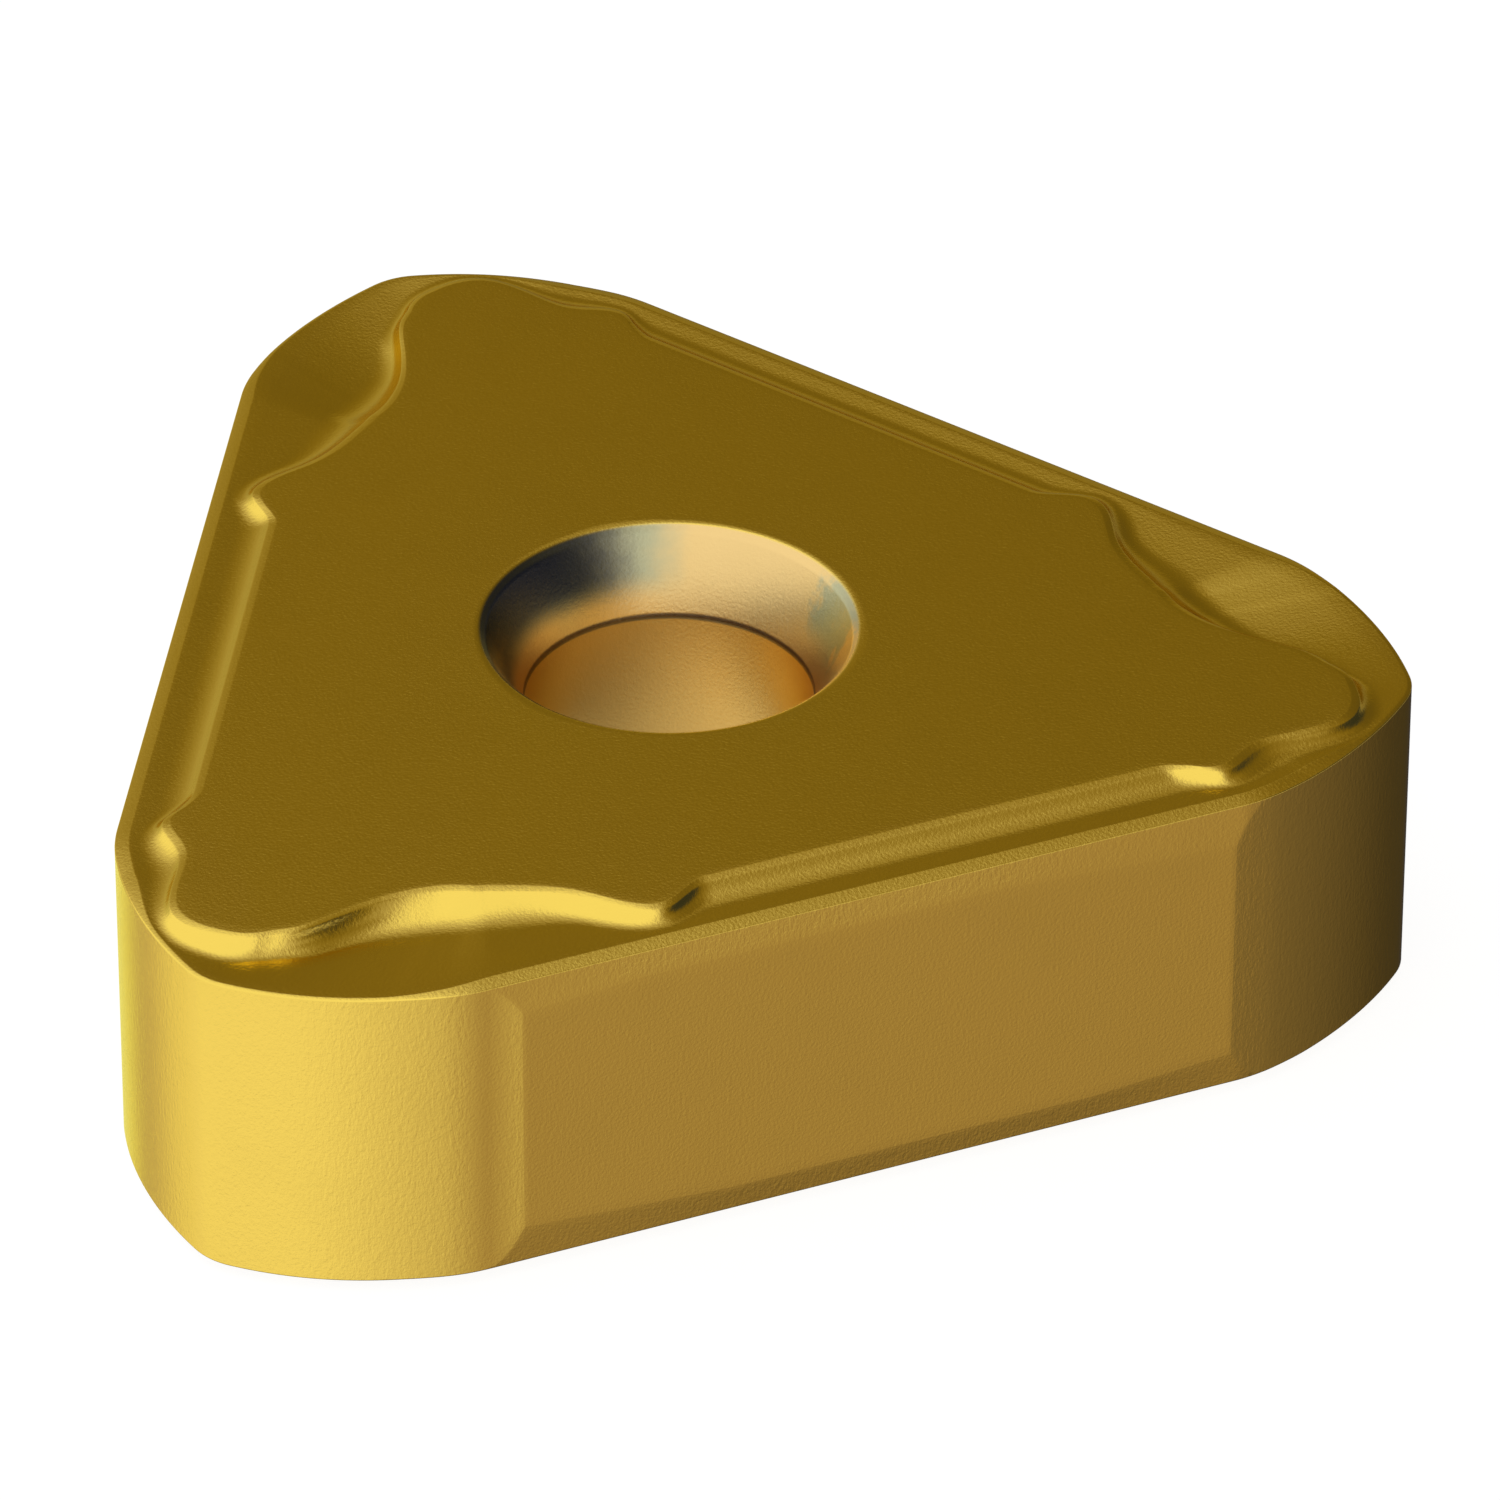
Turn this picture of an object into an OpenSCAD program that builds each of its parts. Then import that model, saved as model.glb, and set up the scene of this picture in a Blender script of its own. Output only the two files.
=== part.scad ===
// Double-sided trigonal indexable insert for turning and milling holders.
// Three cutting corners on each face, a moulded chip groove behind every edge,
// and one flared hole for the clamping screw.
// Origin: middle of the lower seat face, on the axis of the hole. +Z is up, and
// one flat side faces -Y, so that a cutting corner points to +Y.

/* [Body] */
// Diameter of the circle that touches the three flat side faces
inscribed_d = 11.11; // [9:0.01:14]
// Height from one seat face to the other
thickness = 4.03; // [3.2:0.01:5]
// Radius of the three cutting corners
corner_r = 0.8; // [0.6:0.05:1]
// Half of the angle that a corner radius turns through
corner_half_a = 17.7; // [14:0.1:22]
// Radius of the bowed edge on each side of a corner
bow_r = 4.83; // [4.2:0.01:6]
// Radius that blends a straight edge into a bowed edge
blend_r = 2.1; // [1.5:0.1:4]
// Angle that the blend turns through
blend_a = 14.3; // [10:0.1:22]

/* [Side faces] */
// How far a flat side face stands out past the cutting edges above and below it
side_step = 0.035; // [0:0.005:0.08]
// Length of straight edge past each end of a side face
side_margin = 0.23; // [0.2:0.01:0.8]
// How far a side face lies off the middle of its edges, towards the corner after it
side_shift = 0.17; // [0:0.01:0.3]
// Length over which each end of a side face fades out
side_fade = 0.45; // [0.2:0.01:0.6]
// Height of the set-back band along a cutting edge, where it is level
band_h = 0.31; // [0.2:0.01:0.6]
// Height that the band gains per length where it slopes towards its two ends
band_slope = 0.065; // [0:0.005:0.15]
// Length of the sloping stretch at the end where a side face begins
band_rise_from = 1.54; // [0.5:0.01:2]
// Length of the sloping stretch at the end where a side face stops
band_rise_to = 2.64; // [0.5:0.01:3]

/* [Hole] */
// Diameter of the through hole
bore_d = 3.25; // [2.4:0.05:4]
// Diameter of the flared rim at each seat face
rim_d = 4.2; // [3.4:0.05:5.2]
// Depth of the flare below each seat face
flare_h = 0.93; // [0.5:0.01:1.3]
// Angle that the arc of the flare turns through on its way down
flare_turn_a = 26; // [10:1:40]

/* [Chip groove] */
// Depth of the cutting edges below the seat face
edge_drop = 0.16; // [0.08:0.01:0.25]
// Width of the land along a straight edge
land_w = 0.16; // [0.05:0.01:0.2]
// Width of the land round a corner
corner_land_w = 0.05; // [0.04:0.01:0.1]
// Angle at which the land rises from the cutting edge
land_a = 15; // [0:1:20]
// Angle at which the groove floor falls away from the land
rake_a = 4; // [0:0.5:12]
// Width from a straight edge to the top of the groove's back wall
groove_w = 0.85; // [0.7:0.01:1.1]
// Width of the back wall, seen from above
wall_w = 0.26; // [0.18:0.01:0.35]
// Length of the fillet between the floor and the wall, along each of them
foot_w = 0.12; // [0.02:0.01:0.2]
// Width of the facet that eases the wall into the seat face
crown_w = 0.09; // [0.02:0.01:0.12]
// Angle at which that facet falls from the seat face
crown_a = 13; // [5:1:25]

/* [Bumps and short pocket] */
// Distance along the edge from a corner back to the bump before it
bump_before = 2.85; // [2.6:0.05:3.2]
// Width left between the edge and the tip of that bump
bump_before_w = 0.61; // [0.5:0.01:0.7]
// Distance along the edge from a corner on to the bump after it
bump_after = 5.3; // [5:0.01:5.6]
// Width left between the edge and the tip of that bump
bump_after_w = 0.57; // [0.5:0.01:0.7]
// Length of the steep side of a bump
bump_side = 0.6; // [0.4:0.05:0.8]
// Width of the back wall at a bump
bump_wall_w = 0.2; // [0.15:0.01:0.25]
// Length of the foot fillet at a bump
bump_foot_w = 0.08; // [0.02:0.01:0.12]
// Distance from a corner back to the widest place of the short pocket
short_pocket_at = 2.05; // [1.8:0.05:2.3]
// Width of the groove there
short_pocket_w = 0.76; // [0.6:0.01:0.85]
// Distance from a corner back to the throat, where the groove is narrowest
throat_at = 1; // [0.8:0.05:1.3]
// Width of the groove there
throat_w = 0.37; // [0.32:0.01:0.45]

/* [Corner and long pocket] */
// Width of the groove at a corner
corner_w = 0.82; // [0.7:0.01:1]
// Width of the back wall at a corner
corner_wall_w = 0.2; // [0.15:0.01:0.25]
// Distance from a corner on to the end of the nose that lies behind it
nose_end_at = 0.45; // [0.35:0.05:0.6]
// Width of the groove there
nose_end_w = 1.06; // [0.95:0.01:1.2]
// Distance from a corner on to the ridge where the long pocket opens
ridge_at = 0.85; // [0.7:0.05:1.1]
// Width of the groove there
ridge_w = 1.47; // [1.3:0.01:1.6]
// Width of the back wall there
ridge_wall_w = 0.3; // [0.2:0.01:0.4]
// Distance from a corner on to the widest place of the long pocket
long_pocket_at = 1.95; // [1.7:0.05:2.4]
// Width of the groove there
long_pocket_w = 1.92; // [1.6:0.01:2.3]
// Width of the back wall there
long_wall_w = 0.4; // [0.3:0.01:0.6]
// Length of the foot fillet in the long pocket
pocket_foot_w = 0.18; // [0.05:0.01:0.25]
// Distance from a corner on to the shoulder of the long pocket
shoulder_at = 3.25; // [3:0.05:3.5]
// Width of the groove there
shoulder_w = 1.59; // [1.4:0.01:1.7]
// Width of the back wall there
shoulder_wall_w = 0.34; // [0.25:0.01:0.5]
// Length from the end of the long pocket to the bump after it
pocket_end_l = 0.8; // [0.6:0.05:1]
// Width of the groove at the end of the long pocket
pocket_end_w = 1.03; // [0.9:0.01:1.2]
// Height that the cutting edge gains just before a corner and loses just after it
corner_wave = 0.018; // [0:0.002:0.03]
// Length of edge on each side of a corner over which it does so
wave_l = 2.2; // [1.5:0.1:3]

/* [Hidden] */

// Change of groove width per length of edge, at five places of the plan
corner_slope = 0.6;
nose_end_slope = 0.55;
ridge_slope = 1.05;
shoulder_slope = -0.33;
pocket_end_slope = -0.74;
// Height that is left of the band past the ends of a side face
least_band_h = 0.03;
// The sections across the groove point to an inner guide outline, which lies this far past
// the widest pocket and keeps this radius where the edge's own would shrink to nothing
guide_gap = 0.08;
guide_r = 0.1;
// Most of the floor or of the wall beside it that a foot fillet takes up
fillet_share = 0.9;
round_steps = 3;
// Greatest length and angle from one station to the next, and the grid for their fixed places
station_gap = 0.16;
station_a = 4;
knot_step = 0.02;
overshoot = 1;

// Unit vector at angle a from -Y, and the mirror image of v across a corner's bisector
function turn(a) = [sin(a), -cos(a)];
function across(v) = 2 * (v * turn(60)) * turn(60) - v;
function spin(v, a) = [v.x * cos(a) - v.y * sin(a), v.x * sin(a) + v.y * cos(a)];
function arc_l(r, a) = r * a * PI / 180;
function clip(x) = min(max(x, 0), 1);

// An outline is half its straight edge, its side distance, its three radii and their centres
function outline(d, r0, r1, r2) =
    let (c0 = [0, r0 - d],
         c1 = c0 + (r0 - r1) * turn(blend_a),
         c2 = c1 + (r1 - r2) * turn(60 - corner_half_a),
         half = -(c2.x + sqrt(3) * c2.y),
         shift = [half, 0])
    [half, d, [r0, r1, r2], [c0 + shift, c1 + shift, c2 + shift]];

edge_d = inscribed_d / 2 - side_step;
guide_d = long_pocket_w + guide_gap;
edge = outline(edge_d, blend_r, bow_r, corner_r);
guide = outline(edge_d - guide_d, guide_r, bow_r - guide_d, guide_r);

// Lengths of edge from the middle of a side to the ends of its straight, blend, bow and corner
half_edge = edge[0];
blend_to = half_edge + arc_l(blend_r, blend_a);
bow_to = blend_to + arc_l(bow_r, 60 - corner_half_a - blend_a);
half_l = bow_to + arc_l(corner_r, corner_half_a);
function normal_a(l) =
    lookup(l, [[half_edge, 0], [blend_to, blend_a], [bow_to, 60 - corner_half_a], [half_l, 60]]);

function outline_point(o, l) =
    l < half_edge ? [l / half_edge * o[0], -o[1]]
    : let (i = l < blend_to ? 0 : l < bow_to ? 1 : 2)
        o[3][i] + o[2][i] * turn(normal_a(l));

// Ends of a flat side face and of its level band, from the middle of its edges
side_half = half_edge - side_margin;
level_from = band_rise_from - side_half;
level_to = side_half - band_rise_to;

// Stops are the lengths of edge from the middle of a side to its stations. One falls on
// each knot, which is a place where the outline, the side face or the groove turns.
function sorted(v) =
    len(v) < 2 ? v
    : concat(sorted([for (x = v) if (x < v[0]) x]), [v[0]], sorted([for (x = v) if (x > v[0]) x]));
fixed_places = [
    0, half_edge, blend_to, bow_to,
    side_half - side_shift, side_half + side_shift,
    half_l - bump_before, half_l - bump_after
];
knots = [each sorted([for (l = fixed_places) knot_step * round(max(l, 0) / knot_step)]), half_l];
function steps(a, b) = ceil(max((b - a) / station_gap, (normal_a(b) - normal_a(a)) / station_a));
stops = [
    for (i = [0 : len(knots) - 2])
        let (a = knots[i], b = knots[i + 1], n = steps(a, b))
        for (j = [0 : n - 1]) a + (b - a) * j / n,
    half_l
];

// Stations run round the whole outline. The half of a side before a corner uses the stops
// as they are, and the half after it mirrors them.
half_n = len(stops) - 1;
side_n = 2 * half_n;
ring_n = 3 * side_n;
function is_after(m) = m % side_n > half_n;
function stop_at(m) = let (i = m % side_n) stops[i > half_n ? side_n - i : i];
function side_turn(m) = 120 * floor(m / side_n);
function point_at(o, m) =
    let (v = outline_point(o, stop_at(m)))
    spin(is_after(m) ? across(v) : v, side_turn(m));
function normal_at(m) =
    let (a = normal_a(stop_at(m)))
    turn((is_after(m) ? 120 - a : a) + side_turn(m));
// Length of edge from the nearest corner, and from the middle of the side: each is
// positive past that place and negative before it
function place_at(m) = (half_l - stop_at(m)) * (is_after(m) ? 1 : -1);
function along_at(m) = stop_at(m) * (is_after(m) ? -1 : 1);

// Groove plan: [place, groove width, its slope, back wall width, land width, foot fillet]
plan = [
    [-bump_before - bump_side, groove_w, 0, wall_w, land_w, foot_w],
    [-bump_before, bump_before_w, 0, bump_wall_w, land_w, bump_foot_w],
    [-short_pocket_at, short_pocket_w, 0, wall_w, land_w, foot_w],
    [-throat_at, throat_w, 0, corner_wall_w, corner_land_w, bump_foot_w],
    [0, corner_w, corner_slope, corner_wall_w, corner_land_w, foot_w],
    [nose_end_at, nose_end_w, nose_end_slope, corner_wall_w, corner_land_w, foot_w],
    [ridge_at, ridge_w, ridge_slope, ridge_wall_w, corner_land_w, pocket_foot_w],
    [long_pocket_at, long_pocket_w, 0, long_wall_w, corner_land_w, pocket_foot_w],
    [shoulder_at, shoulder_w, shoulder_slope, shoulder_wall_w, land_w, pocket_foot_w],
    [bump_after - pocket_end_l, pocket_end_w, pocket_end_slope, wall_w, land_w, foot_w],
    [bump_after, bump_after_w, 0, bump_wall_w, land_w, bump_foot_w],
    [bump_after + bump_side, groove_w, 0, wall_w, land_w, foot_w]
];
plan_n = len(plan);

// Cubic from value v0 and slope s0 to v1 and s1 over length l, at share u
function cubic(v0, s0, v1, s1, l, u) =
    v0 + u * (l * s0 + u * (3 * (v1 - v0) - l * (2 * s0 + s1) + u * (2 * (v0 - v1) + l * (s0 + s1))));
function plan_row(place, i = 0) = i < plan_n - 2 && place > plan[i + 1][0] ? plan_row(place, i + 1) : i;
// Groove width, back wall width, land width and foot fillet at a place along the edge
function groove_at(place) =
    let (i = plan_row(place),
         a = plan[i],
         b = plan[i + 1],
         l = b[0] - a[0],
         u = clip((place - a[0]) / l))
    [cubic(a[1], a[2], b[1], b[2], l, u), for (k = [3 : 5]) cubic(a[k], 0, b[k], 0, l, u)];
function edge_depth(place) =
    edge_drop + corner_wave * sin(180 * min(max(place / wave_l, -1), 1));

// Corner b of the line a-b-c, rounded over length l on both sides
function rounded(a, b, c, l) =
    let (from = b + l * (a - b) / norm(a - b),
         to = b + l * (c - b) / norm(c - b))
    [for (i = [0 : round_steps])
        let (u = i / round_steps)
        (1 - u) * (1 - u) * from + 2 * u * (1 - u) * b + u * u * to];

// Section across the groove as [distance from the edge, height], edge first
function section(place) =
    let (g = groove_at(place),
         brink = [0, -edge_depth(place)],
         land = brink + g[2] * [1, tan(land_a)],
         foot_x = g[0] - g[1],
         foot = [foot_x, land.y - (foot_x - land.x) * tan(rake_a)],
         top = [g[0], 0],
         crown = top - crown_w * [1, tan(crown_a)],
         fillet = min(g[3], fillet_share * norm(foot - land), fillet_share * norm(crown - foot)))
    [brink, land, each rounded(land, foot, crown, fillet), crown, top];

// Point of the upper face at station m, at [w, h] of its section
function face_point(m, s) =
    let (e = point_at(edge, m),
         n = normal_at(m),
         v = point_at(guide, m) - e,
         q = e - v / (v * n) * s[0])
    [q.x, q.y, thickness + s[1]];

// Foot of the set-back band under the upper edge, where the side face stands out most.
// Both fade away past the ends of the side face.
function band_point(m, shift) =
    let (x = along_at(m),
         left = 1 - clip((abs(x - shift) - side_half) / side_fade),
         h = band_h + band_slope * (max(level_from - x, 0) + max(x - level_to, 0)),
         q = point_at(edge, m) + side_step * left * left * normal_at(m))
    [q.x, q.y, thickness - edge_depth(place_at(m)) - max(h * left * left, least_band_h)];

// The lower face is the upper one turned over about the Y axis
function turned(v) = [-v.x, v.y, thickness - v.z];
function opposite(m) = (ring_n - m) % ring_n;

module body_blank() {
    sections = [for (m = [0 : ring_n - 1]) section(place_at(m))];
    top_n = len(sections[0]);
    face = [for (j = [top_n - 1 : -1 : 0]) [for (m = [0 : ring_n - 1]) face_point(m, sections[m][j])]];
    upper = [each face, [for (m = [0 : ring_n - 1]) band_point(m, side_shift)]];
    under = [each face, [for (m = [0 : ring_n - 1]) band_point(m, -side_shift)]];
    lower = [for (r = [top_n : -1 : 0]) [for (m = [0 : ring_n - 1]) turned(under[r][opposite(m)])]];
    rings = concat(upper, lower);
    rings_n = len(rings);
    middle = rings_n * ring_n;
    points = [for (ring = rings) each ring, [0, 0, thickness], [0, 0, 0]];
    faces = [
        for (r = [0 : rings_n - 2], m = [0 : ring_n - 1])
            let (a = r * ring_n + m, b = r * ring_n + (m + 1) % ring_n)
            each [[a, b, b + ring_n], [a, b + ring_n, a + ring_n]],
        for (m = [0 : ring_n - 1])
            let (next = (m + 1) % ring_n, low = middle - ring_n)
            each [[middle, next, m], [middle + 1, low + m, low + next]]
    ];
    polyhedron(points, faces);
}

// Flare that runs down from the rim in a seat face to the wall of the hole, as one arc
module flare() {
    step = (rim_d - bore_d) / 2;
    rim_a = atan2(flare_h, step) - flare_turn_a / 2;
    flare_r = norm([step, flare_h]) / (2 * sin(flare_turn_a / 2));
    rotate_extrude($fn = 96)
        difference() {
            translate([0, -flare_h])
                square([rim_d / 2, flare_h + overshoot]);
            translate([rim_d / 2 + flare_r * sin(rim_a), -flare_r * cos(rim_a)])
                circle(r = flare_r, $fn = 96);
        }
}

module insert_body() {
    color([0.62, 0.48, 0.18])
        difference() {
            body_blank();
            translate([0, 0, -overshoot])
                cylinder(d = bore_d, h = thickness + 2 * overshoot, $fn = 96);
            translate([0, 0, thickness])
                flare();
            mirror([0, 0, 1])
                flare();
        }
}

insert_body();
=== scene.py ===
"""Coated carbide insert: detailed surface, finish, light and camera.

The body is a fine mesh of the CAD solid's form: a closed grid of rings that run from the hole
over the upper face, down the side and back through the lower face to the hole. Its flare is
drawn straighter, and the foot fillet of its groove reaches further on to the floor.
Lengths are in millimetres until the mesh is made, and z = 0 is the lower seat face.
"""

import math

import bpy
import numpy as np
from mathutils import Matrix, Vector


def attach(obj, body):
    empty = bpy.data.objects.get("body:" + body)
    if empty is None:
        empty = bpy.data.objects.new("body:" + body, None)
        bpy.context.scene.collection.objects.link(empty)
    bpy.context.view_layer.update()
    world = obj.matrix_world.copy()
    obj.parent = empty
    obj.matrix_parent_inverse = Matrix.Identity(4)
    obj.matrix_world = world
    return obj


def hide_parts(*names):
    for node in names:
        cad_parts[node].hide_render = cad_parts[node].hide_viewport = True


MM = 0.001

# Body
INSCRIBED_D = 11.11
THICKNESS = 4.03
CORNER_R = 0.8
CORNER_HALF_A = 17.7
BOW_R = 4.83
BLEND_R = 2.1
BLEND_A = 14.3

# Side faces
SIDE_STEP = 0.035
SIDE_MARGIN = 0.23
SIDE_SHIFT = 0.17
SIDE_FADE = 0.45
BAND_H = 0.31
BAND_SLOPE = 0.065
BAND_RISE_FROM = 1.54
BAND_RISE_TO = 2.64
LEAST_BAND_H = 0.03
EDGE_D = INSCRIBED_D / 2 - SIDE_STEP

# Hole
BORE_D = 3.25
RIM_D = 4.2
FLARE_H = 0.93
FLARE_TURN_A = 10.0
RIM_BREAK = 0.045

# Chip groove
EDGE_DROP = 0.16
LAND_W = 0.16
CORNER_LAND_W = 0.05
LAND_A = 15.0
RAKE_A = 4.0
GROOVE_W = 0.85
WALL_W = 0.26
FOOT_W = 0.12
CROWN_W = 0.09
CROWN_A = 13.0
HONE_W = 0.03
LAND_ROUND = 0.01
CROWN_ROUND = 0.012
# Foot fillet: most of a line that it takes, and its lengths on the floor and up the wall
FILLET_SHARE = 0.9
FOOT_REACH = 1.7
FOOT_CLIMB = 1.25

# Pockets and bumps
BUMP_BEFORE = 2.85
BUMP_BEFORE_W = 0.61
BUMP_AFTER = 5.3
BUMP_AFTER_W = 0.57
BUMP_WALL_W = 0.2
BUMP_FOOT_W = 0.08
BUMP_SIDE = 0.6
SHORT_POCKET_AT = 2.05
SHORT_POCKET_W = 0.76
THROAT_AT = 1.0
THROAT_W = 0.37
CORNER_W = 0.82
CORNER_SLOPE = 0.6
CORNER_WALL_W = 0.2
NOSE_END_AT = 0.45
NOSE_END_W = 1.06
NOSE_END_SLOPE = 0.55
RIDGE_AT = 0.85
RIDGE_W = 1.47
RIDGE_SLOPE = 1.05
RIDGE_WALL_W = 0.3
LONG_POCKET_AT = 1.95
LONG_POCKET_W = 1.92
LONG_WALL_W = 0.4
POCKET_FOOT_W = 0.18
SHOULDER_AT = 3.25
SHOULDER_W = 1.59
SHOULDER_SLOPE = -0.33
SHOULDER_WALL_W = 0.34
POCKET_END_L = 0.8
POCKET_END_W = 1.03
POCKET_END_SLOPE = -0.74
CORNER_WAVE = 0.018
WAVE_L = 2.2

# Inner guide outline that the sections across the groove point to
GUIDE_D = LONG_POCKET_W + 0.08
GUIDE_R = 0.1

# Distance between stations along the edge, and from a crisp edge to the station beside it
STATION_GAP = 0.07
PAIR_GAP = 0.004
# Shares at which rings stand: from mid height up the bore, from the rim out over the seat,
# down the band above a side face, and from there to mid height
BORE_SHARES = (0.99, 0.75, 0.5, 0.25)
SEAT_SHARES = (0.02, 0.3, 0.65, 0.97)
BAND_SHARES = (0.03, 0.35, 0.7, 1 - PAIR_GAP / BAND_H)
SIDE_SHARES = (0.1, 0.4, 0.7)
# Steps down the flare
FLARE_STEPS = 18

# Camera, from the photograph: where it stands round the object, and what it aims at
CAM_AZIMUTH = -23.37
CAM_ELEVATION = 33.96
CAM_ROLL = 0.136
CAM_DISTANCE = 131.99
CAM_AIM = (-0.147, -2.624, 4.03)
CAM_LENS = 288.1

# Coating: its gold outside and in the hole, the two tints of its thin places there, which also hold
# painted reflection and painted shade, and the tint of its shine at a glancing angle
GOLD = (0.87, 0.63, 0.105)
HOLE_GOLD = (0.85, 0.6, 0.24)
TEAL_FILM_AND_REFLECTION = (0.5, 0.49, 0.29)
NAVY_FILM_AND_SHADE = (0.11, 0.12, 0.14)
SHINE_TINT = (0.95, 0.88, 0.5, 1)
# Thin places in the flare, with painted reflection (teal) and painted shade (navy) laid where the
# camera
# sees them: angle from the camera's right, and the cosines between which they come in. The flare's
# share starts and is full at these heights above the end of the bore.
TEAL_LEFT = (145, 0.45, 0.72)
TEAL_RIGHT = (16, 0.95, 0.99)
NAVY_LEFT = (150, 0.62, 0.9)
FLARE_PATCH_HEIGHTS = (0.15, 0.5)
# Raggedness of their edges: noise scale per metre and width
PATCH_EDGE_SCALE = 4000.0
PATCH_EDGE = 0.12
# Painted shade: a dark line round the end of the bore, half its width where it is full and where it
# ends
BORE_SHADE_LINE = (0.02, 0.05)
BORE_SHADE_LINE_SHARE = 0.8
# Roughness of the coating, and what the hole adds
ROUGHNESS = (0.1, 0.15)
HOLE_ROUGHNESS = 0.2
# Grain of every surface and of the side faces: noise scale per metre, strength and height
FINE_SCALE = 27000.0
FINE_STRENGTH = 0.8
FINE_H = 0.0034
SIDE_SCALE = 22000.0
SIDE_STRENGTH = 0.9
SIDE_H = 0.0052
# Stretch of the side grain's coordinates, less along the hole, where it is drawn out
SIDE_STRETCH = (1, 1, 0.4)
# Upward part of the normal between which the side grain fades out, and the cosine to a flat
# side face's direction between which it falls to the share that those faces keep
SIDE_UPWARD = (0.3, 0.6)
FLAT_COSINE = (0.99, 0.999)
FLAT_GRAIN = 0.15
# Slow change of the coating's lightness
CLOUD_SCALE = 900.0
CLOUD_SHADE = (0.985, 1.015)

# Studio: level of the big light, and where its right-hand and far edges fade out in the sky.
# Places in the sky run from -1 to 1, to the right and away from the camera.
LIGHT_LEVEL = 1.08
LIGHT_SIDE = (-0.02, 0.3)
LIGHT_BACK = (0.18, 0.66)
# Dimmer parts of the sky: their levels, and where each begins and ends
WALL_LEVEL = 0.42
WALL_SIDE = (0.35, -0.6)
ROOM_LEVEL = 0.112
ROOM_SIDE = (0.45, 0.75)
ROOM_SIDE_SHARE = 0.25
FRONT_LEVEL = 0.2
FRONT_EDGE = (-0.15, -0.5)
TAIL_LEVEL = 0.17
TAIL_SIDE = (0.15, 0.75)
SHELF_LEVEL = 0.14
SHELF_BACK = (0.575, 0.63)
SHELF_SIDE = (0.0, 0.2)
REAR_LEVEL = 0.12
REAR_EDGE = (0.78, 0.92)
# Heights, from -1 to 1, between which the ground gives way to the horizon and that to the sky
HORIZON_BLEND = (-0.34, -0.12)
SKY_BLEND = (0.0, 0.2)
# Heights between which the ground under the object darkens, and its share there
UNDER_EDGE = (-1.0, -0.6)
UNDER_SHARE = 0.2
# Tones of the sky by its level, and of the horizon and the ground by the share of a turn from
# the left, by way of the front
SKY_TONES = [
    (0.0, (0.02, 0.03, 0.06)),
    (0.06, (0.06, 0.06, 0.08)),
    (0.12, (0.15, 0.115, 0.035)),
    (0.2, (0.24, 0.182, 0.05)),
    (0.3, (0.36, 0.3, 0.17)),
    (0.4, (0.44, 0.39, 0.32)),
    (0.6, (0.64, 0.6, 0.62)),
    (0.8, (0.82, 0.8, 0.85)),
    (1.0, (1.08, 1.08, 1.1)),
]
HORIZON_TONES = [
    (0.27, (1.0, 0.98, 1.0)),
    (0.5, (0.45, 0.41, 0.42)),
    (0.67, (0.24, 0.21, 0.19)),
    (0.75, (0.24, 0.21, 0.17)),
    (0.83, (0.45, 0.42, 0.37)),
    (0.95, (0.9, 0.93, 1.0)),
]
GROUND_TONES = [
    (0.2, (1.05, 1.03, 1.05)),
    (0.385, (0.4, 0.305, 0.295)),
    (0.43, (0.23, 0.185, 0.21)),
    (0.6, (0.065, 0.055, 0.09)),
    (0.745, (0.05, 0.05, 0.08)),
    (0.77, (0.95, 0.97, 0.35)),
    (0.83, (0.95, 0.96, 0.4)),
    (0.86, (0.49, 0.41, 0.58)),
    (0.93, (1.0, 0.97, 1.07)),
]
# Floor: half its width in metres, its paint, the strength of its own white, and the share of
# that beside the paint that takes the shadow
FLOOR_HALF = 2.0
FLOOR_PAINT = (0.85, 0.85, 0.85, 1)
FLOOR_LIGHT = 1.15
FLOOR_SHARE = 0.8
# Painted light on the floor inside the hole, which only the metal shows: its tone, and its strength
# from the camera's left to its right
HOLE_FLOOR_PAINTED_LIGHT = (0.98, 0.88, 0.6)
HOLE_FLOOR_LIGHT = (1.0, 0.3)


def turn(a):
    """Unit vectors at the angles a, in degrees, from -Y."""
    a = np.radians(a)
    return np.stack([np.sin(a), -np.cos(a)], -1)


def spin(v, a):
    """Vectors v turned by a, in degrees."""
    a = np.radians(a)
    c, s = np.cos(a), np.sin(a)
    return np.stack([v[:, 0] * c - v[:, 1] * s, v[:, 0] * s + v[:, 1] * c], -1)


def arc_length(radius, angle):
    return radius * math.radians(angle)


class Outline:
    """Half a side of a three-cornered outline: a straight, a blend, a bow and a corner arc."""

    def __init__(self, distance, blend_r, bow_r, corner_r):
        self.distance = distance
        self.radii = np.array([blend_r, bow_r, corner_r])
        blend = np.array([0.0, blend_r - distance])
        bow = blend + (blend_r - bow_r) * turn(BLEND_A)
        corner = bow + (bow_r - corner_r) * turn(60 - CORNER_HALF_A)
        self.half = -(corner[0] + math.sqrt(3) * corner[1])
        self.centres = np.array([blend, bow, corner]) + [self.half, 0]

    def points(self, angle, share):
        """Points at normal angles and, on the straight, at shares of the half edge."""
        arc = np.searchsorted([BLEND_A, 60 - CORNER_HALF_A], angle, side="right")
        on_arc = self.centres[arc] + self.radii[arc][:, None] * turn(angle)
        on_line = np.stack([share * self.half, np.full(len(share), -self.distance)], -1)
        return np.where((share < 1)[:, None], on_line, on_arc)


EDGE = Outline(EDGE_D, BLEND_R, BOW_R, CORNER_R)
GUIDE = Outline(EDGE_D - GUIDE_D, GUIDE_R, BOW_R - GUIDE_D, GUIDE_R)

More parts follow.
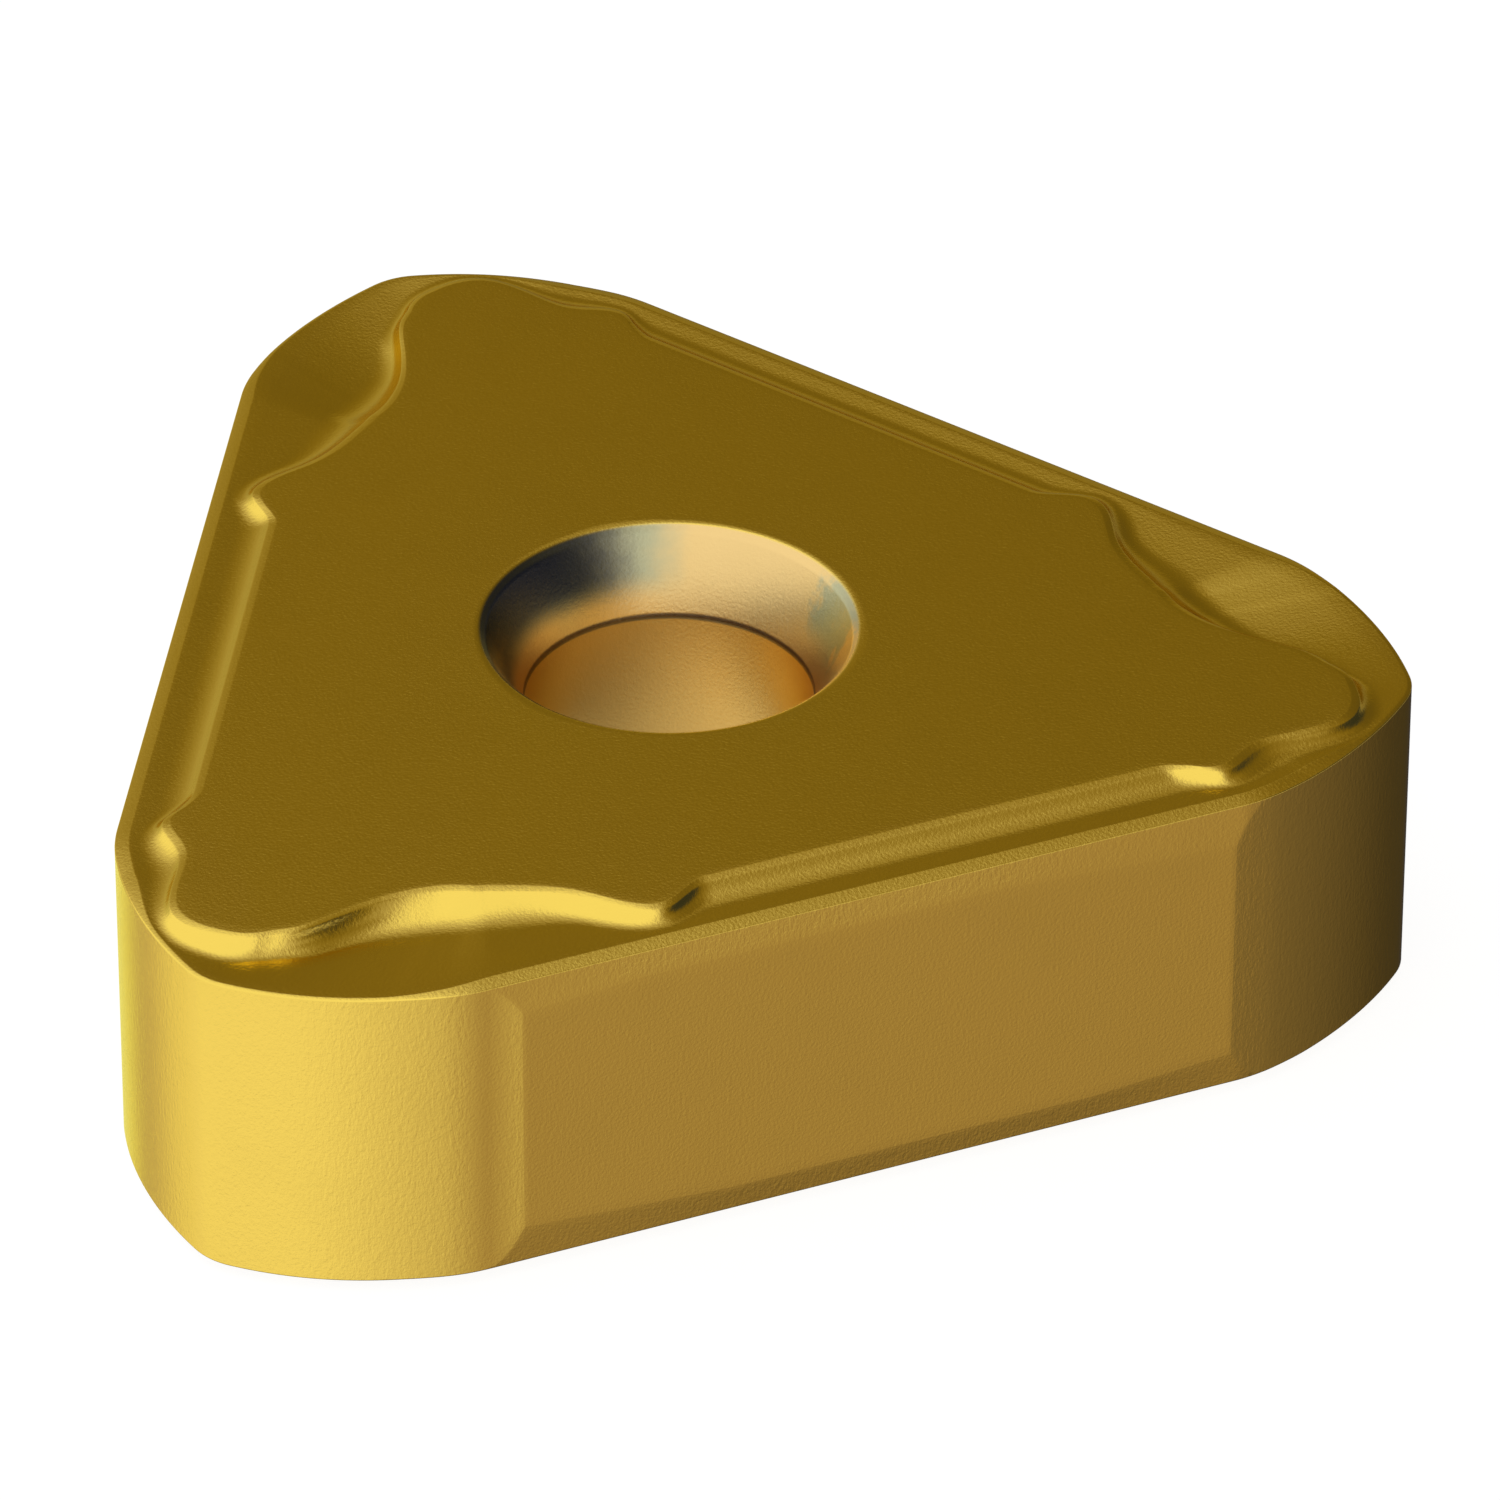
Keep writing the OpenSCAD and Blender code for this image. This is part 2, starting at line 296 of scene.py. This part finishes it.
# Lengths of edge from the middle of a side to the ends of its straight, blend, bow and corner
EDGE_ENDS = np.cumsum([
    EDGE.half,
    arc_length(BLEND_R, BLEND_A),
    arc_length(BOW_R, 60 - CORNER_HALF_A - BLEND_A),
    arc_length(CORNER_R, CORNER_HALF_A),
])
HALF_LENGTH = EDGE_ENDS[-1]

# Ends of a flat side face and of its level band, from the middle of its edges
SIDE_HALF = EDGE.half - SIDE_MARGIN
LEVEL_FROM = BAND_RISE_FROM - SIDE_HALF
LEVEL_TO = SIDE_HALF - BAND_RISE_TO


def stop_lengths():
    """Lengths from the middle of a side to its stations, closest where the form changes."""
    ends = [SIDE_HALF - SIDE_SHIFT, SIDE_HALF + SIDE_SHIFT]
    knots = {0.0, *EDGE_ENDS, HALF_LENGTH - BUMP_AFTER, HALF_LENGTH - BUMP_BEFORE}
    knots.update(e + d for e in ends for d in (-PAIR_GAP, PAIR_GAP))
    knots = sorted(knots)
    runs = []
    for a, b in zip(knots, knots[1:]):
        runs.append(np.linspace(a, b, max(1, math.ceil((b - a) / STATION_GAP)), endpoint=False))
    return np.concatenate(runs + [[HALF_LENGTH]])


def normal_angle(length):
    """Angle of the outline's normal, from the middle of a side, at lengths along the edge."""
    return np.interp(length, EDGE_ENDS, [0, BLEND_A, 60 - CORNER_HALF_A, 60])


class Stations:
    """Places round the whole outline, with the sections' directions."""

    def __init__(self):
        length = stop_lengths()
        angle = normal_angle(length)
        share = np.minimum(length / EDGE.half, 1)
        across = 2 * np.outer(turn(60.0), turn(60.0)) - np.eye(2)
        self.edge, self.normal, self.inward, self.place, self.along = [], [], [], [], []
        e, g, n = EDGE.points(angle, share), GUIDE.points(angle, share), turn(angle)
        for side in range(3):
            for sign, rows, m in ((-1, slice(None), np.eye(2)), (1, slice(-2, 0, -1), across)):
                edge = spin(e[rows] @ m, 120 * side)
                guide = spin(g[rows] @ m, 120 * side)
                normal = spin(n[rows] @ m, 120 * side)
                v = guide - edge
                self.edge.append(edge)
                self.normal.append(normal)
                self.inward.append(-v / (v * normal).sum(1)[:, None])
                self.place.append(sign * (HALF_LENGTH - length[rows]))
                self.along.append(-sign * length[rows])
        for name in ("edge", "normal", "inward", "place", "along"):
            setattr(self, name, np.concatenate(getattr(self, name)))
        self.count = len(self.place)
        self.opposite = (self.count - np.arange(self.count)) % self.count


# Groove plan: place along the edge from the corner, groove width, its slope, back wall
# width, land width and foot fillet
PLAN = np.array([
    [-BUMP_BEFORE - BUMP_SIDE, GROOVE_W, 0, WALL_W, LAND_W, FOOT_W],
    [-BUMP_BEFORE, BUMP_BEFORE_W, 0, BUMP_WALL_W, LAND_W, BUMP_FOOT_W],
    [-SHORT_POCKET_AT, SHORT_POCKET_W, 0, WALL_W, LAND_W, FOOT_W],
    [-THROAT_AT, THROAT_W, 0, CORNER_WALL_W, CORNER_LAND_W, BUMP_FOOT_W],
    [0, CORNER_W, CORNER_SLOPE, CORNER_WALL_W, CORNER_LAND_W, FOOT_W],
    [NOSE_END_AT, NOSE_END_W, NOSE_END_SLOPE, CORNER_WALL_W, CORNER_LAND_W, FOOT_W],
    [RIDGE_AT, RIDGE_W, RIDGE_SLOPE, RIDGE_WALL_W, CORNER_LAND_W, POCKET_FOOT_W],
    [LONG_POCKET_AT, LONG_POCKET_W, 0, LONG_WALL_W, CORNER_LAND_W, POCKET_FOOT_W],
    [SHOULDER_AT, SHOULDER_W, SHOULDER_SLOPE, SHOULDER_WALL_W, LAND_W, POCKET_FOOT_W],
    [BUMP_AFTER - POCKET_END_L, POCKET_END_W, POCKET_END_SLOPE, WALL_W, LAND_W, FOOT_W],
    [BUMP_AFTER, BUMP_AFTER_W, 0, BUMP_WALL_W, LAND_W, BUMP_FOOT_W],
    [BUMP_AFTER + BUMP_SIDE, GROOVE_W, 0, WALL_W, LAND_W, FOOT_W],
])


def cubic(v0, s0, v1, s1, length, u):
    """Cubic from value v0 and slope s0 to v1 and s1 over a length, at share u."""
    bend = 3 * (v1 - v0) - length * (2 * s0 + s1)
    twist = 2 * (v0 - v1) + length * (s0 + s1)
    return v0 + u * (length * s0 + u * (bend + u * twist))


def groove_at(place):
    """Groove, back wall, land and foot fillet widths at places along the edge."""
    i = np.clip(np.searchsorted(PLAN[:, 0], place) - 1, 0, len(PLAN) - 2)
    a, b = PLAN[i].T, PLAN[i + 1].T
    length = b[0] - a[0]
    u = np.clip((place - a[0]) / length, 0, 1)
    width = cubic(a[1], a[2], b[1], b[2], length, u)
    return (width, *(cubic(a[i], 0, b[i], 0, length, u) for i in (3, 4, 5)))


def edge_depth(place):
    """How far the cutting edge lies below the seat, at places along it."""
    return EDGE_DROP + CORNER_WAVE * np.sin(math.pi * np.clip(place / WAVE_L, -1, 1))


def rounded(a, b, c, lengths, steps):
    """Corner b of the line a-b-c, rounded over a length towards a and one towards c."""
    before, after = (np.broadcast_to(v, len(b))[:, None] for v in lengths)
    start = b + before * (a - b) / np.linalg.norm(a - b, axis=1)[:, None]
    end = b + after * (c - b) / np.linalg.norm(c - b, axis=1)[:, None]
    us = np.linspace(0, 1, steps + 1)
    return [(1 - u) ** 2 * start + 2 * u * (1 - u) * b + u * u * end for u in us]


def between(a, b, count):
    """Points strictly between a and b."""
    return [a + (b - a) * i / (count + 1) for i in range(1, count + 1)]


def sections(place):
    """Rings of [distance from the edge, height over the seat] from the side to the seat."""
    width, wall, land_w, foot_w = groove_at(place)
    brink = np.stack([0 * place, -edge_depth(place)], -1)
    land = brink + land_w[:, None] * [1, math.tan(math.radians(LAND_A))]
    foot_x = width - wall
    foot_z = land[:, 1] - (foot_x - land[:, 0]) * math.tan(math.radians(RAKE_A))
    foot = np.stack([foot_x, foot_z], -1)
    top = np.stack([width, 0 * place], -1)
    crown = top - CROWN_W * np.array([1, math.tan(math.radians(CROWN_A))])
    seat = top + [WALL_W, 0]
    below = brink - [0, 1]
    hone = rounded(below, brink, land, (HONE_W / 2, HONE_W / 2), 4)
    land_edge = rounded(hone[-1], land, foot, (LAND_ROUND, LAND_ROUND), 2)
    floor_l = np.linalg.norm(foot - land, axis=1)
    wall_l = np.linalg.norm(crown - foot, axis=1)
    fillet = np.minimum(foot_w, FILLET_SHARE * np.minimum(floor_l, wall_l))
    reach = np.minimum(FOOT_REACH * foot_w, FILLET_SHARE * floor_l)
    climb = np.minimum(FOOT_CLIMB * fillet, FILLET_SHARE * wall_l)
    foot_round = rounded(land, foot, crown, (reach, climb), 10)
    crown_round = rounded(foot, crown, top, (CROWN_ROUND, CROWN_ROUND), 2)
    top_round = rounded(crown, top, seat, (CROWN_ROUND, CROWN_ROUND), 2)
    return (
        hone
        + between(hone[-1], land_edge[0], 1)
        + land_edge
        + between(land_edge[-1], foot_round[0], 3)
        + foot_round
        + between(foot_round[-1], crown_round[0], 2)
        + crown_round
        + between(crown_round[-1], top_round[0], 1)
        + top_round
    )


def hole_profile():
    """[radius, height] from the rim down the flare to the middle of the hole."""
    step = (RIM_D - BORE_D) / 2
    chord = math.hypot(step, FLARE_H)
    bend = math.radians(FLARE_TURN_A)
    rim_a = math.atan2(FLARE_H, step) - bend / 2
    edge = RIM_BREAK / 4
    points = [[RIM_D / 2 + RIM_BREAK, THICKNESS], [RIM_D / 2 + edge, THICKNESS - edge]]
    for i in range(FLARE_STEPS + 1):
        turned = bend * i / (2 * FLARE_STEPS)
        a = rim_a + turned
        reach = chord * math.sin(turned) / math.sin(bend / 2)
        points.append([RIM_D / 2 - reach * math.cos(a), THICKNESS - reach * math.sin(a)])
    points[2] = [RIM_D / 2 - edge, THICKNESS - RIM_BREAK]
    for share in BORE_SHARES:
        points.append([BORE_D / 2, THICKNESS / 2 + share * (THICKNESS / 2 - FLARE_H)])
    return points


def side_face(along, shift):
    """How far a flat side face stands out, and the height of the band above it."""
    x = along - shift
    left = 1 - np.clip((np.abs(x) - SIDE_HALF) / SIDE_FADE, 0, 1)
    band = BAND_H + BAND_SLOPE * (np.maximum(LEVEL_FROM - along, 0) + np.maximum(along - LEVEL_TO, 0))
    return SIDE_STEP * left ** 2, np.maximum(band * left ** 2, LEAST_BAND_H)


def face_rings(st, shift):
    """Rings of the upper half, from the middle of the hole out and down to mid height."""
    face = sections(st.place)
    seat_edge = st.edge + st.inward * face[-1][:, :1]
    round_angle = np.arctan2(seat_edge[:, 1], seat_edge[:, 0])
    spoke = np.stack([np.cos(round_angle), np.sin(round_angle)], -1)

    def at(xy, z):
        return np.column_stack([xy, np.broadcast_to(z, len(xy))])

    rings = [at(spoke * r, z) for r, z in reversed(hole_profile())]
    rim = spoke * (RIM_D / 2 + RIM_BREAK)
    rings += [at(rim + (seat_edge - rim) * u, THICKNESS) for u in SEAT_SHARES]
    for s in reversed(face):
        rings.append(at(st.edge + st.inward * s[:, :1], THICKNESS + s[:, 1]))
    out, band = side_face(st.along, shift)
    top = THICKNESS - edge_depth(st.place) - HONE_W / 2
    foot = THICKNESS - edge_depth(st.place) - band
    for share in BAND_SHARES:
        rings.append(at(st.edge + st.normal * (out * share)[:, None], top + (foot - top) * share))
    outer = st.edge + st.normal * out[:, None]
    rings.append(at(outer, foot - PAIR_GAP))
    for share in SIDE_SHARES:
        rings.append(at(outer, foot + (THICKNESS / 2 - foot) * share))
    return rings


def insert_mesh():
    """One closed grid of quads."""
    st = Stations()
    upper = face_rings(st, SIDE_SHIFT)
    turned_over = reversed(face_rings(st, -SIDE_SHIFT))
    lower = [r[st.opposite] * [-1, 1, -1] + [0, 0, THICKNESS] for r in turned_over]
    rings = np.array(upper + lower)
    ring_n, n = rings.shape[:2]
    r, m = np.meshgrid(np.arange(ring_n), np.arange(n), indexing="ij")
    r2, m2 = (r + 1) % ring_n, (m + 1) % n
    quads = np.stack([r * n + m, r2 * n + m, r2 * n + m2, r * n + m2], -1).reshape(-1, 4)
    mesh = bpy.data.meshes.new("insert_skin")
    mesh.from_pydata((rings.reshape(-1, 3) * MM).tolist(), [], quads.tolist())
    mesh.validate()
    mesh.shade_smooth()
    piece = bpy.data.objects.new("insert_skin", mesh)
    bpy.context.scene.collection.objects.link(piece)
    return piece


class Nodes:
    """Short names for building a node tree."""

    def __init__(self, tree):
        self.tree = tree
        tree.nodes.clear()

    def add(self, kind, inputs=None, **settings):
        node = self.tree.nodes.new(kind)
        for name, value in settings.items():
            setattr(node, name, value)
        for name, value in (inputs or {}).items():
            self.set(node, name, value)
        return node

    def set(self, node, name, value):
        socket = node.inputs[name]
        if isinstance(value, bpy.types.NodeSocket):
            self.tree.links.new(value, socket)
        else:
            socket.default_value = value

    def math(self, operation, *values):
        node = self.add("ShaderNodeMath", operation=operation)
        for i, value in enumerate(values):
            self.set(node, i, value)
        return node.outputs[0]

    def noise(self, vector, scale, detail=2.0, roughness=0.5):
        node = self.add(
            "ShaderNodeTexNoise",
            {"Vector": vector, "Scale": scale, "Detail": detail, "Roughness": roughness},
        )
        return node.outputs["Fac"]

    def span(self, value, low, high, out_low=0.0, out_high=1.0):
        node = self.add(
            "ShaderNodeMapRange",
            {"Value": value, "From Min": low, "From Max": high, "To Min": out_low, "To Max": out_high},
        )
        return node.outputs["Result"]

    def smooth(self, value, low, high, out_low=0.0, out_high=1.0):
        result = self.span(value, low, high, out_low, out_high)
        result.node.interpolation_type = "SMOOTHSTEP"
        return result

    def dot(self, vector, axis):
        node = self.add("ShaderNodeVectorMath", {0: vector, 1: axis}, operation="DOT_PRODUCT")
        return node.outputs["Value"]

    def ramp(self, value, stops):
        node = self.add("ShaderNodeValToRGB", {"Fac": value})
        elements = node.color_ramp.elements
        while len(elements) < len(stops):
            elements.new(0.5)
        for element, (place, color) in zip(elements, stops):
            element.position = place
            element.color = (*color, 1.0)
        return node.outputs["Color"]

    def mix(self, factor, a, b):
        node = self.add("ShaderNodeMix", data_type="RGBA")
        self.set(node, 0, factor)
        self.set(node, 6, a)
        self.set(node, 7, b)
        return node.outputs[2]


def hole_color_and_shade(k, coord, radius, z):
    """Coating in the hole. It is thin on places of the flare, and shows teal and navy there: partly
    the coating's tint, partly painted reflection and painted shade. A line of painted shade runs round
    the end of the bore.
    """
    level = k.math("ABSOLUTE", k.math("SUBTRACT", z, THICKNESS / 2 * MM))
    bore_end = THICKNESS / 2 - FLARE_H
    flare = k.smooth(level, *((bore_end + h) * MM for h in FLARE_PATCH_HEIGHTS))
    ragged = k.math("SUBTRACT", k.noise(coord, PATCH_EDGE_SCALE, 3.0, 0.6), 0.5)
    ragged = k.math("MULTIPLY", ragged, PATCH_EDGE)

    def patch(angle, start, end):
        a = math.radians(angle)
        towards = studio_vector(math.cos(a), math.sin(a), 0)
        cosine = k.math("DIVIDE", k.dot(coord, towards), radius)
        return k.smooth(k.math("ADD", cosine, ragged), start, end)

    # Teal: coating tint with painted reflection; navy: painted shade
    teal = k.math("MULTIPLY", k.math("MAXIMUM", patch(*TEAL_LEFT), patch(*TEAL_RIGHT)), flare)
    navy = k.math("MULTIPLY", patch(*NAVY_LEFT), flare)
    # Painted shade: dark line round the end of the bore
    from_end = k.math("ABSOLUTE", k.math("SUBTRACT", level, bore_end * MM))
    line = k.smooth(from_end, *(w * MM for w in BORE_SHADE_LINE), BORE_SHADE_LINE_SHARE, 0.0)
    color = k.mix(teal, (*HOLE_GOLD, 1), (*TEAL_FILM_AND_REFLECTION, 1))
    return k.mix(k.math("MAXIMUM", navy, line), color, (*NAVY_FILM_AND_SHADE, 1))


def coated_carbide():
    """Satin gold coating with a fine grain, drawn out along the hole on the side faces, and painted
    reflection and shade on the flare.
    """
    material = bpy.data.materials.new("coated_carbide")
    material.use_nodes = True
    k = Nodes(material.node_tree)
    place = k.add("ShaderNodeTexCoord")
    coord = place.outputs["Object"]
    split = k.add("ShaderNodeSeparateXYZ", {"Vector": coord})
    x, y = split.outputs["X"], split.outputs["Y"]
    radius = k.math("SQRT", k.math("ADD", k.math("MULTIPLY", x, x), k.math("MULTIPLY", y, y)))
    hole = k.smooth(radius, RIM_D / 2 * MM, (RIM_D / 2 + RIM_BREAK) * MM, 1.0, 0.0)
    upward = k.math("ABSOLUTE", k.dot(place.outputs["Normal"], (0, 0, 1)))
    side = k.smooth(upward, *SIDE_UPWARD, 1.0, 0.0)
    side = k.math("MULTIPLY", side, k.math("SUBTRACT", 1.0, hole))
    facing = [k.dot(place.outputs["Normal"], (*turn(a), 0)) for a in (0, 120, 240)]
    flat = k.math("MAXIMUM", k.math("MAXIMUM", facing[0], facing[1]), facing[2])
    side = k.math("MULTIPLY", side, k.smooth(flat, *FLAT_COSINE, 1.0, FLAT_GRAIN))

    drawn = k.add("ShaderNodeVectorMath", {0: coord, 1: SIDE_STRETCH}, operation="MULTIPLY")
    side_grain = k.noise(drawn.outputs[0], SIDE_SCALE, 3.0, 0.65)
    fine_grain = k.noise(coord, FINE_SCALE, 3.0, 0.6)
    shade = k.span(k.noise(coord, CLOUD_SCALE, 3.0), 0.35, 0.65, *CLOUD_SHADE)
    gold = k.mix(hole, (*GOLD, 1), hole_color_and_shade(k, coord, radius, split.outputs["Z"]))
    color = k.mix(shade, (0, 0, 0, 1), gold)
    fine = k.add(
        "ShaderNodeBump",
        {"Strength": FINE_STRENGTH, "Distance": FINE_H * MM, "Height": fine_grain},
    )
    bump = k.add(
        "ShaderNodeBump",
        {
            "Strength": k.math("MULTIPLY", side, SIDE_STRENGTH),
            "Distance": SIDE_H * MM,
            "Height": side_grain,
            "Normal": fine.outputs["Normal"],
        },
    )
    roughness = k.span(fine_grain, 0.3, 0.7, *ROUGHNESS)
    shader = k.add(
        "ShaderNodeBsdfPrincipled",
        {
            "Base Color": color,
            "Metallic": 1.0,
            "Roughness": k.math("MULTIPLY_ADD", hole, HOLE_ROUGHNESS, roughness),
            "Specular Tint": SHINE_TINT,
            "Normal": bump.outputs["Normal"],
        },
    )
    out = k.add("ShaderNodeOutputMaterial")
    k.tree.links.new(shader.outputs[0], out.inputs["Surface"])
    return material


def studio_vector(x, y, z):
    """A direction given as right, away and up, seen from the camera, in the object's frame."""
    return Matrix.Rotation(math.radians(CAM_AZIMUTH), 3, "Z") @ Vector((x, y, z))


def make_world():
    """The studio that the metal reflects: a big light to the left and above, a dim wall that
    lightens to the left, and a darker right-hand side, placed as seen from the camera."""
    world = bpy.data.worlds.new("studio")
    bpy.context.scene.world = world
    world.use_nodes = True
    k = Nodes(world.node_tree)
    direction = k.add("ShaderNodeTexCoord").outputs["Generated"]
    right = k.dot(direction, studio_vector(1, 0, 0))
    away = k.dot(direction, studio_vector(0, 1, 0))
    up = k.dot(direction, (0, 0, 1))

    # Place in a flattened sky, where equal areas stay equal
    scale = k.math("POWER", k.math("ADD", k.math("MAXIMUM", up, 0.0), 1.0), -0.5)
    sky_x = k.math("MULTIPLY", right, scale)
    sky_y = k.math("MULTIPLY", away, scale)
    side_at = k.math("MULTIPLY_ADD", sky_y, 0.3, sky_x)
    side = k.smooth(side_at, *LIGHT_SIDE, 1.0, 0.0)
    back = k.smooth(k.math("MULTIPLY_ADD", sky_x, 0.2, sky_y), *LIGHT_BACK, 1.0, 0.0)
    wall = k.math("POWER", k.span(sky_x, *WALL_SIDE), 2.0)
    front = k.smooth(sky_y, *FRONT_EDGE)
    tail = k.math("MULTIPLY", k.smooth(side_at, *TAIL_SIDE, TAIL_LEVEL, 0.0), back)
    room = k.math("MULTIPLY_ADD", front, FRONT_LEVEL, ROOM_LEVEL)
    room = k.math("MULTIPLY", room, k.smooth(sky_x, *ROOM_SIDE, 1.0, ROOM_SIDE_SHARE))
    dim = k.math("MULTIPLY_ADD", wall, WALL_LEVEL, room)
    shelf = k.smooth(sky_y, *SHELF_BACK, 1.0, 0.0)
    shelf = k.math("MULTIPLY", shelf, k.smooth(sky_x, *SHELF_SIDE, SHELF_LEVEL, 0.0))
    shelf = k.math("MULTIPLY", shelf, k.math("SUBTRACT", 1.0, back))
    rear = k.smooth(sky_y, *REAR_EDGE, 0.0, REAR_LEVEL)
    dim = k.math("ADD", k.math("ADD", dim, tail), k.math("ADD", shelf, rear))
    level = k.add("ShaderNodeMix", {0: k.math("MULTIPLY", side, back), 2: dim, 3: LIGHT_LEVEL})
    sky = k.ramp(level.outputs[0], SKY_TONES)

    # Share of a turn, from the left through the front and the right to the back
    turn_share = k.math("MULTIPLY_ADD", k.math("ARCTAN2", away, right), 0.5 / math.pi, 0.5)
    horizon = k.ramp(turn_share, HORIZON_TONES)
    ground = k.ramp(turn_share, GROUND_TONES)
    shaded = k.mix(k.span(up, *UNDER_EDGE, UNDER_SHARE, 1.0), (0, 0, 0, 1), ground)
    lower = k.mix(k.smooth(up, *HORIZON_BLEND), shaded, horizon)
    color = k.mix(k.smooth(up, *SKY_BLEND), lower, sky)
    background = k.add("ShaderNodeBackground", {"Color": color, "Strength": 1.0})
    out = k.add("ShaderNodeOutputWorld")
    k.tree.links.new(background.outputs[0], out.inputs["Surface"])


def make_floor():
    """White floor that takes the object's shadow. The metal sees the studio's ground through
    it, and inside the hole painted light that is lighter on the camera's left."""
    mesh = bpy.data.meshes.new("floor")
    corners = [(x * FLOOR_HALF, y * FLOOR_HALF, 0) for x, y in ((-1, -1), (1, -1), (1, 1), (-1, 1))]
    mesh.from_pydata(corners, [], [(0, 1, 2, 3)])
    floor = bpy.data.objects.new("floor", mesh)
    bpy.context.scene.collection.objects.link(floor)
    material = bpy.data.materials.new("floor_paint")
    material.use_nodes = True
    k = Nodes(material.node_tree)
    paint = k.add("ShaderNodeBsdfDiffuse", {"Color": FLOOR_PAINT})
    white = k.add("ShaderNodeEmission", {"Color": (1, 1, 1, 1), "Strength": FLOOR_LIGHT})
    path = k.add("ShaderNodeLightPath")
    seen = k.math("MAXIMUM", path.outputs["Is Camera Ray"], path.outputs["Is Transmission Ray"])
    top = k.add(
        "ShaderNodeMixShader",
        {0: k.math("MULTIPLY", seen, FLOOR_SHARE), 1: paint.outputs[0], 2: white.outputs[0]},
    )
    clear = k.add("ShaderNodeBsdfTransparent")
    geometry = k.add("ShaderNodeNewGeometry")
    apart = k.add("ShaderNodeVectorMath", {0: geometry.outputs["Position"]}, operation="LENGTH")
    # Painted light: inside the hole the floor glows for the metal, lighter on the camera's left
    in_hole = k.math("LESS_THAN", apart.outputs["Value"], RIM_D / 2 * MM)
    across = k.dot(geometry.outputs["Position"], studio_vector(1, 0, 0))
    fall = k.span(across, -BORE_D / 2 * MM, BORE_D / 2 * MM, *HOLE_FLOOR_LIGHT)
    lit = k.add("ShaderNodeEmission", {"Color": (*HOLE_FLOOR_PAINTED_LIGHT, 1), "Strength": fall})
    below = k.add("ShaderNodeMixShader", {0: in_hole, 1: clear.outputs[0], 2: lit.outputs[0]})
    shown = k.add(
        "ShaderNodeMixShader",
        {0: path.outputs["Is Glossy Ray"], 1: top.outputs[0], 2: below.outputs[0]},
    )
    behind = geometry.outputs["Backfacing"]
    both = k.add("ShaderNodeMixShader", {0: behind, 1: shown.outputs[0], 2: clear.outputs[0]})
    out = k.add("ShaderNodeOutputMaterial")
    k.tree.links.new(both.outputs[0], out.inputs["Surface"])
    mesh.materials.append(material)


def make_camera():
    """Camera at the photograph's angle, aimed at the same point."""
    data = bpy.data.cameras.new("camera")
    data.sensor_width = 36.0
    data.lens = CAM_LENS
    data.clip_start, data.clip_end = 0.01, 20.0
    camera = bpy.data.objects.new("camera", data)
    bpy.context.scene.collection.objects.link(camera)
    az, el = math.radians(CAM_AZIMUTH), math.radians(CAM_ELEVATION)
    back = Vector((math.sin(az) * math.cos(el), -math.cos(az) * math.cos(el), math.sin(el)))
    camera.location = (Vector(CAM_AIM) + back * CAM_DISTANCE) * MM
    look = (-back).to_track_quat("-Z", "Y").to_matrix()
    camera.rotation_euler = (look @ Matrix.Rotation(math.radians(CAM_ROLL), 3, "Z")).to_euler()
    bpy.context.scene.camera = camera


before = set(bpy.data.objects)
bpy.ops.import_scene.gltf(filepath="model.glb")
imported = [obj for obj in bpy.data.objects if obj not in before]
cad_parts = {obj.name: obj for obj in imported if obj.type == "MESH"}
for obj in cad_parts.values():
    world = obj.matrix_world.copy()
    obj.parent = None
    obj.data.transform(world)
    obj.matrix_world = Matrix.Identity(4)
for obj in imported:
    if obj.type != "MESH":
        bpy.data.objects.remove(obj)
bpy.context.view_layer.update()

piece = insert_mesh()
piece.data.materials.append(coated_carbide())
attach(piece, "root")
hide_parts("insert_body")

make_camera()
make_world()
make_floor()

bpy.context.scene.view_settings.view_transform = "Standard"
